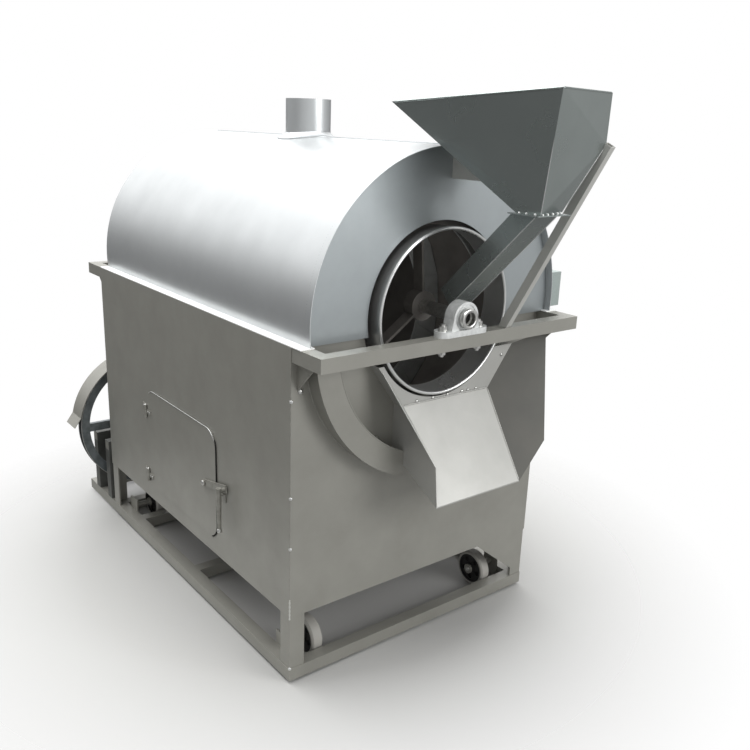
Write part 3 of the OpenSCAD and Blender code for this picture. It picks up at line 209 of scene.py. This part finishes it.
MATERIALS |= {
    # grey iron casting, painted silver with the machine
    "casting": plain("painted_iron_casting", "E6E8E7", "D4D6D5", 0.45, 0.36, 0.012, 0.2),
    # turned shafts, bolts and rings
    "turned": plain("turned_steel", "CFCFCC", "B9B9B6", 0.95, 0.28, 0.006, 0.05),
    # spoked sheave and pulleys
    "pulley": plain("machined_grey_iron", "858B8E", "6C7275", 0.7, 0.4, 0.03, 0.08),
    # hinges and latch, painted with the body and rubbed
    "fitting": plain("rubbed_painted_steel", "97968F", "84837C", 0.35, 0.42, 0.02, 0.1),
    # drive stands and motor plate under dark primer
    "primer": plain("primed_steel", "5A5B58", "4F504D", 0.2, 0.5, 0.06, 0.05),
    # painted shadow: a black line in the fire door's latch-side gap and a black disc in the shaft's deep
    # bore
    "shade_black": plain("painted_shadow_black", "1E1D1B", "141312", 0.0, 0.9, 0.003, 0.4),
    # vulcanised belts
    "belt": plain("belt_rubber", "1C1C1C", "121212", 0.0, 0.7, 0.004, 0.1),
    # motor enamel
    "enamel": plain("blue_grey_enamel", "4D5B68", "43505C", 0.1, 0.4, 0.05, 0.05),
    # control box powder coat
    "powder": plain("grey_powder_coat", "98A29F", "8E9895", 0.0, 0.5, 0.003, 0.15),
    # moulding of the switch knob
    "knob": plain("black_moulding", "1B1B1B", "151515", 0.0, 0.35, 0.01, 0.05),
    # moulding of the stop button
    "stop": plain("red_moulding", "B3201B", "A51B17", 0.0, 0.3, 0.01, 0.02),
}
print("materials", len(MATERIALS))


# %% [markdown]
# A wheel has a dark face and a pale tread. They part at a radius r from the wheel's middle
# (y0, z0), with r = |(|y| - y0, z - z0)|, which serves front and rear wheels alike.

# %% Wheels
FACE_END, TREAD_START = 0.0512, 0.0518


def wheel_rubber(name):
    """Solid rubber, black on the face and worn pale on the tread."""
    lo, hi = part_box("rear_left_wheel")
    middle = ((lo.y + hi.y) / 2, (lo.z + hi.z) / 2, 0)
    m, t, shader = start(name)
    place = add(t, "SeparateXYZ", Vector=add(t, "TexCoord").outputs["Object"])
    span = add(t, "Math", operation="ABSOLUTE", IN0=place.outputs["Y"]).outputs[0]
    near = add(t, "CombineXYZ", X=span, Y=place.outputs["Z"]).outputs[0]
    r = add(t, "VectorMath", operation="DISTANCE", IN0=near, IN1=middle).outputs["Value"]
    tread = spread(t, r, FACE_END, TREAD_START, 0.0, 1.0)
    t.links.new(mix(t, tread, linear("242423"), linear("A5A39D")), shader.inputs["Base Color"])
    shader.inputs["Roughness"].default_value = 0.6
    return m


# rubber wheels, worn pale on the tread
MATERIALS["wheel"] = wheel_rubber("solid_wheel_rubber")
print("tread from r", TREAD_START)

# %% [markdown]
# Each CAD node takes one of these finishes. Nodes that are not listed take the body's paint.

# %% Paint the nodes
FINISH = {
    "hood": ["hood_shell", "flue_pipe"],
    "plate": ["hood_front_plate"],
    "bright": ["drum_collar"],
    "ledge": ["side_ledges"],
    "strut": ["hopper_supports"],
    "hopper": ["feed_hopper", "feed_trough"],
    "chute": ["chute_plate", "discharge_chute"],
    "cheek": ["chute_cheek"],
    "flight": ["drum_flights"],
    "soot": ["drum_shell", "front_spider", "hearth_tray", "fire_grate"],
    "casting": ["front_bearing_housing", "rear_bearing_housing", "jack_bearing_housings"],
    "turned": ["bearing_bolts", "drum_bearing_rings", "drum_shafts", "jack_shaft"],
    "pulley": ["drum_pulley", "jack_sheave", "jack_pulley", "motor_rotor"],
    "fitting": ["panel_hinges", "door_hinges", "latch_bar", "latch_keeper"],
    "belt": ["motor_belt", "drum_belt"],
    "primer": ["drive_stands", "motor_plate"],
    "enamel": ["motor_body"],
    "powder": ["control_box", "control_box_lid"],
    "knob": ["run_switch"],
    "stop": ["stop_button"],
    "wheel": ["front_left_wheel", "front_right_wheel", "rear_left_wheel", "rear_right_wheel"],
}
finish_of = {node: key for key, nodes in FINISH.items() for node in nodes}
for node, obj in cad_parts.items():
    obj.data.materials.clear()
    obj.data.materials.append(MATERIALS[finish_of.get(node, "body")])
print("nodes painted", len(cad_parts))


# %% [markdown]
# ## Welds, rivets and hems
# Every small detail is a grid of points P[i, j] made with numpy and wrapped into quads. A tube
# follows a path: P = path + r (cos a N + sin a B), with N and B square to the path's tangent.

# %% Grid surfaces
STEEP = 0.9  # a tangent with more upward share than this takes X as its reference
TIP = 0.05  # an open tube ends in a tip of this share of its radius


def surface(name, points, body, finish, smooth=True):
    """Mesh from (n, m, 3) points, or a stack (k, n, m, 3), closed along m, riding on a CAD body."""
    stack = points.reshape(-1, *points.shape[-3:])
    count, n, m = stack.shape[:3]
    i, j = np.meshgrid(np.arange(n - 1), np.arange(m), indexing="ij")
    k = (j + 1) % m
    quad = np.stack([i * m + j, i * m + k, (i + 1) * m + k, (i + 1) * m + j], -1).reshape(-1, 4)
    quads = (quad + (np.arange(count) * n * m)[:, None, None]).reshape(-1, 4)
    mesh = bpy.data.meshes.new(name)
    mesh.from_pydata(stack.reshape(-1, 3), [], quads)
    mesh.polygons.foreach_set("use_smooth", np.full(len(quads), smooth))
    mesh.materials.append(MATERIALS[finish])
    o = bpy.data.objects.new(name, mesh)
    bpy.context.collection.objects.link(o)
    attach(o, body)
    print(name, "quads", len(quads))


def tube(path, r, sides=8, lump=0.0, pitch=0.008, loop=False):
    """Grid round a path of (n, 3) points; lump and pitch make the ripples of a weld bead."""
    tangent = np.gradient(path, axis=0)
    if loop:
        tangent[0] = tangent[-1] = path[1] - path[-2]
    tangent /= np.linalg.norm(tangent, axis=1, keepdims=True)
    ref = np.where(np.abs(tangent[:, 2:]) < STEEP, [[0, 0, 1.0]], [[1.0, 0, 0]])
    normal = np.cross(tangent, ref)
    normal /= np.linalg.norm(normal, axis=1, keepdims=True)
    other = np.cross(tangent, normal)
    run = np.r_[0, np.cumsum(np.linalg.norm(np.diff(path, axis=0), axis=1))]
    radius = r * (1 + lump * np.sin(2 * np.pi * run / pitch))
    if not loop:
        radius[[0, -1]] *= TIP
    a = np.linspace(0, 2 * np.pi, sides, endpoint=False)
    ring = np.cos(a)[None, :, None] * normal[:, None] + np.sin(a)[None, :, None] * other[:, None]
    return path[:, None] + radius[:, None, None] * ring


def line(a, b, n=60):
    """n points from a to b."""
    s = np.linspace(0, 1, n)[:, None]
    return a * (1 - s) + b * s


def arc(r, y, z, first, last, n):
    """n machine points (r cos a, y, z + r sin a), a from first to last degrees."""
    a = np.radians(np.linspace(first, last, n))
    return np.stack([r * np.cos(a), np.full(n, y), z + r * np.sin(a)], -1)


def beads(ends, r, n=60, lump=0.0):
    """A stack of straight tubes, one for each pair of end points."""
    return np.stack([tube(line(a, b, n), r, lump=lump) for a, b in ends])


def domes(name, spots, axis, body, finish, r, h, sides=14, rings=5):
    """Round heads in one mesh: radius r cos t and height h sin t for t in 0..90 degrees."""
    axis = np.asarray(axis, float)
    skew = [0.3, 0.5, 0.8]
    side = np.cross(axis, skew)
    side /= np.linalg.norm(side)
    other = np.cross(axis, side)
    t = np.linspace(0, np.pi / 2, rings)[:, None, None]
    a = np.linspace(0, 2 * np.pi, sides, endpoint=False)[None, :, None]
    cap = r * np.cos(t) * (np.cos(a) * side + np.sin(a) * other) + h * np.sin(t) * axis
    surface(name, cap + np.asarray(spots)[:, None, None], body, finish)


def blocks(name, lows, highs, body, finish):
    """Boxes in one mesh from their low and high corners."""
    lo, hi = np.asarray(lows)[:, None, None], np.asarray(highs)[:, None, None]
    around = np.array([[0, 0], [1, 0], [1, 1], [0, 1]], float)
    mid = np.full((4, 2), 0.5)
    rows = np.stack([mid, around, around, mid])
    part = np.concatenate([rows, np.array([0, 0, 1, 1.0])[:, None, None] * np.ones((4, 4, 1))], -1)
    surface(name, lo + part * (hi - lo), body, finish, smooth=False)


# %% [markdown]
# Machine sizes that several details share, in millimetres.

# %% Shared sizes
AXIS = 1062  # height of the drum's axis
RING_Z = 1016  # height of the lower ring's middle
CHUTE_Y = -44  # front face of the chute's back plate
print("axis", AXIS, "ring", RING_Z)

# %% [markdown]
# Weld seams first: hood plate, body corner, lower ring and chute, then the hood's lap seam.

# %% Weld beads
PLATE_WELD_R, PLATE_WELD_Y = 459.2, -21  # round the hood's front plate
LEDGE_CLEAR = 1018  # the plate's weld stops over the ledges
RING_WELD_R, RING_WELD_Y = 449.5, -0.5
WELD_Y = CHUTE_Y - 1  # beads of the chute
LAP_X, LAP_Z = 12, 1524  # the hood's lap seam runs beside the flue

path = arc(PLATE_WELD_R, PLATE_WELD_Y, AXIS, first=2, last=178, n=900)
path = path[path[:, 2] > LEDGE_CLEAR]
surface("hood_plate_weld", tube(row(path), r=0.0025, lump=0.2), "frame", "plate")
path = line(at(-489.2, 0.8, 214), at(-489.2, 0.8, 970), 300)
surface("corner_weld", tube(path, r=0.0016, lump=0.3, pitch=0.02), "frame", "body")
path = line(at(-489.4, 0.4, 206), at(-489.4, 0.4, 272), 90)
surface("corner_bead", tube(path, r=0.0022, lump=0.2, pitch=0.013), "frame", "strut")
path = arc(RING_WELD_R, RING_WELD_Y, RING_Z, first=186, last=251.5, n=300)
surface("ring_weld", tube(row(path), r=0.002, lump=0.2), "frame", "body")
seams = [(at(-136, WELD_Y, 803), at(196, WELD_Y, 803)), (at(198, WELD_Y, 800), at(198, -206, 549))]
surface("chute_weld", beads(seams, r=0.0025, n=100, lump=0.3), "frame", "chute")
crest = [(at(LAP_X, a, LAP_Z), at(LAP_X, b, LAP_Z)) for a, b in ((4, 566), (784, 1346))]
surface("hood_lap_seam", beads(crest, r=0.002, n=100), "frame", "plate")

# %% [markdown]
# The flue stands in a flared saddle: at radius r from the flue's axis the saddle lies
# h = 14 (1 - s) ** 2 mm over its plate, z = 1062.3 + sqrt(464 ** 2 - x ** 2) + h, s = (r - 75.2) / 28.

# %% Flue saddle
SADDLE_IN, SADDLE_W, SADDLE_H = 75.2, 28, 14
SADDLE_PLATE_R = 464
SADDLE_LIFT = 0.3  # keeps the saddle over its plate
FLUE_Y = 675

turn = np.linspace(0, 2 * np.pi, 96, endpoint=False)
s, a = np.meshgrid(np.linspace(0, 1, 9), turn, indexing="ij")
r = SADDLE_IN + SADDLE_W * s
x, y = r * np.cos(a), FLUE_Y + r * np.sin(a)
z = AXIS + SADDLE_LIFT + np.sqrt(SADDLE_PLATE_R ** 2 - x ** 2) + SADDLE_H * (1 - s) ** 2
surface("flue_saddle", row(np.stack([x, y, z], -1)), "frame", "hood")


# %% [markdown]
# The hopper is turned 11.4 degrees, so its hem and welds are placed in its own axes:
# x = 62 + u cos q - v sin q, y = -308 + u sin q + v cos q.

# %% Hopper and trough edges
HOPPER_X, HOPPER_Y = 62, -308
HOPPER_TURN = math.radians(11.4)
RIM_FRONT_Z, RIM_REAR_Z = 1666, 1629
OUTLET_Z = 1366
TACK_Z = 1367


def hopper(u, v, z):
    """Row-frame point from the hopper's own axes."""
    c, s = math.cos(HOPPER_TURN), math.sin(HOPPER_TURN)
    return at(HOPPER_X + u * c - v * s, HOPPER_Y + u * s + v * c, z)


front = [hopper(u, -97, RIM_FRONT_Z) for u in (-113, 137)]
rear = [hopper(u, 408, RIM_REAR_Z) for u in (137, -113)]
rim = front + rear
surface("hopper_hem", beads(zip(rim, rim[1:] + rim[:1]), r=0.003), "frame", "hopper")
# thin bright tubes on the hopper's folds paint the highlight along the bends
folds = [(rim[0], hopper(-52, -35, OUTLET_Z)), (hopper(139, -97, 1541), hopper(52, -35, OUTLET_Z))]
surface("hopper_fold_painted_highlight", beads(folds, r=0.0012), "frame", "bright")
# thin bright tubes on the trough's lower folds paint the highlight along the bends
edges = [(at(x, -42, 1078.6), at(x, -334, 1361)) for x in (20.6, 103.4)]
surface("trough_fold_painted_highlight", beads(edges, r=0.0014), "frame", "bright")
tacks = [hopper(u, -36, TACK_Z) for u in (-44, -20, 6, 30, 46)]
tacks += [hopper(-53, v, TACK_Z) for v in (-20, 5, 26)]
domes("outlet_tack", tacks, (-0.5, -0.86, 0), "frame", "bright", r=0.004, h=0.003)

# %% [markdown]
# Heads of bolts and tack welds: along the chute's back plate, down the corner, on panel, box and axles.

# %% Heads
AXLE_X, AXLE_Z = 330, 52.5
AXLE_YS = (106.5, 1243.5)

bolts = [at(x, CHUTE_Y, 808) for x in (-89, -27, 32, 90, 115, 149)] + [at(250, CHUTE_Y, 900)]
domes("chute_bolt", bolts, (0, -1, 0), "frame", "turned", r=0.006, h=0.004)
tacks = [at(-489, 0, z) for z in (42, 431, 585, 864)]
domes("corner_tack", tacks, (-0.7, -0.7, 0), "frame", "bright", r=0.005, h=0.0025)
bolts = [at(-460, 0, 889), at(-418, 0, 882), at(-200, 0, 700)]
domes("panel_bolt", bolts, (0, -1, 0), "frame", "turned", r=0.009, h=0.006)
screws = [at(558, y, z) for y in (13, 165) for z in (1025, 1119)]
domes("box_screw", screws, (1, 0, 0), "frame", "turned", r=0.004, h=0.003)
for name, sign in (("left", 1), ("right", -1)):
    ends = [at(-sign * AXLE_X, y, AXLE_Z) for y in AXLE_YS]
    domes(f"axle_end_{name}", ends, (sign, 0, 0), "frame", "turned", r=0.009, h=0.004)

# %% [markdown]
# Plugs close the open ends of the square tubes, 2 mm thick and flush with the ends.

# %% Tube plugs
WALL, INSIDE, PLUG = 3, 37, 2  # the tube's inside lies from 3 to 37 mm
RAIL_XS, RAIL_YS = (-490, 450), (0, 1623)
BAR_XS, BAR_YS, BAR_Z = (-488, 486), (-134, 1444), 973
STAND_XS, STAND_YS, STAND_Z = (-490, -112), (1380, 1510), 251

ends = [((x + WALL, y, WALL), (x + INSIDE, y + PLUG, INSIDE)) for x in RAIL_XS for y in RAIL_YS]
for xs, ys, z in ((BAR_XS, BAR_YS, BAR_Z), (STAND_XS, STAND_YS, STAND_Z)):
    ends += [((x, y + WALL, z + WALL), (x + PLUG, y + INSIDE, z + INSIDE)) for x in xs for y in ys]
lows, highs = row(ends).swapaxes(0, 1)
blocks("tube_plug", lows, highs, "frame", "body")


# %% [markdown]
# Fire door: its outline (corner radius 57 mm) carries a black line of painted shadow down the latch side
# and a thin line of painted highlight along the top edge. Hinge pins, leaf screws, the latch's pivot head
# and the ball at the end of the hanging handle are round heads.

# %% Door details
DOOR_CORNER_R = 57
DOOR_CORNERS = ((895, 585, 0), (487, 585, 90), (487, 323, 180), (895, 323, 270))  # y, z, first degree
PIN_ZS = (330, 578)
LEAF_ZS = (282, 530)
DOOR_LEAF_ZS = (306, 554)

bows = [arc(DOOR_CORNER_R, 0, z, q, q + 90, n=12)[:, [0, 2]] + [y, 0] for y, z, q in DOOR_CORNERS]
outline = np.concatenate(bows)
latch_side = outline[19:34]
top_side = outline[6:21]


def door_bead(name, part, x, r, flat, finish):
    """Tube along part of the door's outline, pressed flat against it: x' = x + flat (x_tube - x)."""
    bead = tube(row(np.column_stack([np.full(len(part), x), part])), r)
    bead[..., 0] = x / 1000 + flat * (bead[..., 0] - x / 1000)
    surface(name, bead, "door", finish)


# a black tube down the latch side paints the shadow in the gap where the door stands off the panel
door_bead("door_gap_painted_shadow", latch_side, x=-492.1, r=0.0032, flat=0.6, finish="shade_black")
# a thin bright tube paints the highlight on the door's top edge
door_bead("door_top_painted_highlight", top_side, x=-495, r=0.0014, flat=1.0, finish="bright")
pins = [at(-497, 959, z) for z in PIN_ZS]
domes("hinge_pin_head", pins, (0, 0, 1), "frame", "turned", r=0.0055, h=0.004)
screws = [at(-492.5, y, z + up) for z in LEAF_ZS for y, up in ((974, 10), (988, 38))]
domes("panel_leaf_screw", screws, (-1, 0, 0), "frame", "turned", r=0.004, h=0.002)
screws = [at(-496.1, y, z) for z in DOOR_LEAF_ZS for y in (928, 942)]
domes("door_leaf_screw", screws, (-1, 0, 0), "door", "turned", r=0.004, h=0.002)
pivot = [at(-504.6, 502, 447)]
domes("latch_pivot_head", pivot, (-1, 0, 0), "door", "turned", r=0.009, h=0.004)
ball = [at(-519.6, 362.1, 342)]
for sign, name in ((1, "top"), (-1, "low")):
    domes(f"handle_ball_{name}", ball, (0, 0, sign), "latch", "turned", r=0.009, h=0.009)

# %% [markdown]
# Turned edges: bright rims on both sides of the sheave and pulleys, x = x0 + r cos a, z = z0 + r sin a.
# The lower ring's inner edge is hemmed with a round bead.

# %% Turned rims
HALF_RIM = 17.5  # the rims lie this far before and behind a wheel's middle
JACK_X, JACK_Z = -295, 340
RIMS = (
    # name, body, x, z, radius, y
    ("sheave", "jackshaft", JACK_X, JACK_Z, 279, 1460),
    ("pinion", "jackshaft", JACK_X, JACK_Z, 59, 1587),
    ("bull", "drum", 0, AXIS, 249, 1587),
)
HEM_R, HEM_Y = 376, -54

for name, body, x, z, r, y in RIMS:
    paths = [row(arc(r, y + d, z, first=0, last=360, n=121) + [x, 0, 0]) for d in (-HALF_RIM, HALF_RIM)]
    rims = np.stack([tube(path, r=0.0012, sides=6, loop=True) for path in paths])
    surface(f"{name}_rim_edge", rims, body, "turned")
path = arc(HEM_R, HEM_Y, RING_Z, first=187, last=248, n=120)
surface("ring_hem", tube(row(path), r=0.0022), "frame", "body")

# %% [markdown]
# The front bearing's locking collar is a turned ring, radius 19 to 29 mm, in front of the inner ring.
# A black disc inside the shaft's bore behind it paints the shade of the deep bore.

# %% Locking collar
COLLAR_Y = -138.6  # rear face of the collar
BORE_R = 0.0158
SHADE_DISC_IN = 4  # the disc of painted shade sits this far inside the bore

profile = np.array([(19, 0), (19, -12.4), (19.4, -13), (28.4, -13), (29, -12.4), (29, 0)])
a = np.linspace(0, 2 * np.pi, 64, endpoint=False)
r, y = profile[:, :1], profile[:, 1:]
collar = np.stack([r * np.cos(a), COLLAR_Y + y + 0 * a, AXIS + r * np.sin(a)], -1)
surface("locking_collar", row(collar), "drum", "turned")
mouth = 1000 * (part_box("drum_shafts")[0].y - FRONT)
shade_disc = [at(0, mouth + SHADE_DISC_IN, AXIS)]
# a black disc paints the shade inside the bore
domes("bore_painted_shade", shade_disc, (0, -1, 0), "drum", "shade_black", r=BORE_R, h=0.001)

# %% [markdown]
# The bright worn edge of each spiral flight: x = r cos a, z = r sin a, with a = turn + k y.

# %% Flight edges
FLIGHT_TURNS = 1.75
EDGE_R = 0.2967
END_GAP = 0.002  # the edges stop this far inside the flights' ends

lo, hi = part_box("drum_flights")
s = np.linspace(0, 1, 260)
for k in range(2):
    a = np.pi * k + FLIGHT_TURNS * 2 * np.pi * s
    y = lo.y + END_GAP + (hi.y - lo.y - 2 * END_GAP) * s
    edge = np.stack([EDGE_R * np.cos(a), y, AXIS_Z + EDGE_R * np.sin(a)], -1)
    surface(f"flight_edge_{k + 1}", tube(edge, r=0.003), "drum", "bright")


# %% [markdown]
# ## Stage, light and camera
# A pale floor under the wheels fades out round the machine.

# %% Floor
FLOOR_R = 2.3
FADE_FROM, FADE_TO = 0.8, 1.6

low = (0, 0, START[0].z)
bpy.ops.mesh.primitive_circle_add(vertices=128, radius=FLOOR_R, fill_type="NGON", location=low)
floor = bpy.context.object
floor.name = "floor"
m, t, shader = start("pale_floor")
shader.inputs["Base Color"].default_value = linear("B2B2B0")
shader.inputs["Roughness"].default_value = 0.9
away = add(t, "VectorMath", operation="LENGTH", IN0=add(t, "TexCoord").outputs["Object"]).outputs["Value"]
t.links.new(spread(t, away, FADE_FROM, FADE_TO, 1.0, 0.0), shader.inputs["Alpha"])
floor.data.materials.append(m)
print("floor radius", FLOOR_R)

# %% [markdown]
# The world is white for camera rays. For all other rays it is a grey room, lighter towards the
# front and a little darker below the horizon, with a bright sky high up at the back.

# %% World
ROOM_BACK, ROOM_FRONT = 0.14, 0.7
BELOW = 0.75
SKY = 1.4

world = bpy.data.worlds.new("studio")
bpy.context.scene.world = world
world.use_nodes = True
t = world.node_tree
seen = add(t, "LightPath").outputs["Is Camera Ray"]
way = add(t, "SeparateXYZ", Vector=add(t, "NewGeometry").outputs["Position"])
toward = spread(t, way.outputs["Y"], low=0.4, high=-0.9, to_low=ROOM_BACK, to_high=ROOM_FRONT)
below = spread(t, way.outputs["Z"], low=-0.5, high=0.0, to_low=BELOW, to_high=1.0)
room = add(t, "Math", operation="MULTIPLY", IN0=toward, IN1=below).outputs[0]
behind = spread(t, way.outputs["Y"], low=0.1, high=0.6, to_low=0.0, to_high=1.0)
above = spread(t, way.outputs["Z"], low=0.02, high=0.3, to_low=0.0, to_high=SKY)
sky = add(t, "Math", operation="MULTIPLY", IN0=behind, IN1=above).outputs[0]
glow = add(t, "Math", operation="ADD", IN0=room, IN1=sky).outputs[0]
level = add(t, "Mix", data_type="FLOAT", IN0=seen, IN2=glow, IN3=1.0).outputs[0]
ground = t.nodes["Background"]
ground.inputs["Color"].default_value = (1, 1, 1, 1)
t.links.new(level, ground.inputs["Strength"])
print("world", world.name)


# %% [markdown]
# A wide soft box hangs above and a weaker one stands in front. A small lamp inside the drum shows
# the flights.

# %% Lamps
TOP_WATTS, FRONT_WATTS, DRUM_WATTS = 360, 85, 0.8
TOP_SIZE, FRONT_SIZE, DRUM_LAMP_R = 5.0, 2.0, 0.08


def softbox(name, place, aim, size, power):
    """Square area light at place, facing aim, in metres and watts."""
    data = bpy.data.lights.new(name, "AREA")
    data.size = size
    data.energy = power
    o = bpy.data.objects.new(name, data)
    bpy.context.collection.objects.link(o)
    o.location = place
    o.rotation_euler = (Vector(aim) - Vector(place)).to_track_quat("-Z", "Y").to_euler()


softbox("top_box", place=(-0.4, 0.2, 5.0), aim=(0, 0, 1.2), size=TOP_SIZE, power=TOP_WATTS)
lamp = bpy.data.lights.new("drum_lamp", "POINT")
lamp.energy = DRUM_WATTS
lamp.shadow_soft_size = DRUM_LAMP_R
inside = bpy.data.objects.new("drum_lamp", lamp)
bpy.context.collection.objects.link(inside)
inside.location = at(40, 340, 1160)
inside.visible_glossy = False
softbox("front_box", place=(1.6, -4.4, 2.3), aim=(0.2, -0.5, 1.1), size=FRONT_SIZE, power=FRONT_WATTS)
print("lamps", len(bpy.data.lights))

# %% [markdown]
# The camera stands where the photograph was taken from. It looks along
# w = (sin yaw cos pitch, cos yaw cos pitch, -sin pitch) and is rolled about that line.

# %% Camera
YAW, PITCH, ROLL = (math.radians(a) for a in (38.4, 16.9, 2.1))
EYE = (-1.5946, -2.4205, 1.5716)
LENS, SENSOR = 39.69, 36  # millimetres

w = Vector((math.sin(YAW) * math.cos(PITCH), math.cos(YAW) * math.cos(PITCH), -math.sin(PITCH)))
r = Vector((math.cos(YAW), -math.sin(YAW), 0))
u = r.cross(w)
right = math.cos(ROLL) * r + math.sin(ROLL) * u
over = -math.sin(ROLL) * r + math.cos(ROLL) * u
camera = bpy.data.objects.new("camera", bpy.data.cameras.new("camera"))
bpy.context.collection.objects.link(camera)
camera.data.lens = LENS
camera.data.sensor_width = SENSOR
camera.matrix_world = Matrix.Translation(EYE) @ Matrix((right, over, -w)).transposed().to_4x4()
bpy.context.scene.camera = camera
bpy.context.scene.view_settings.view_transform = "Standard"
print("camera at", EYE)
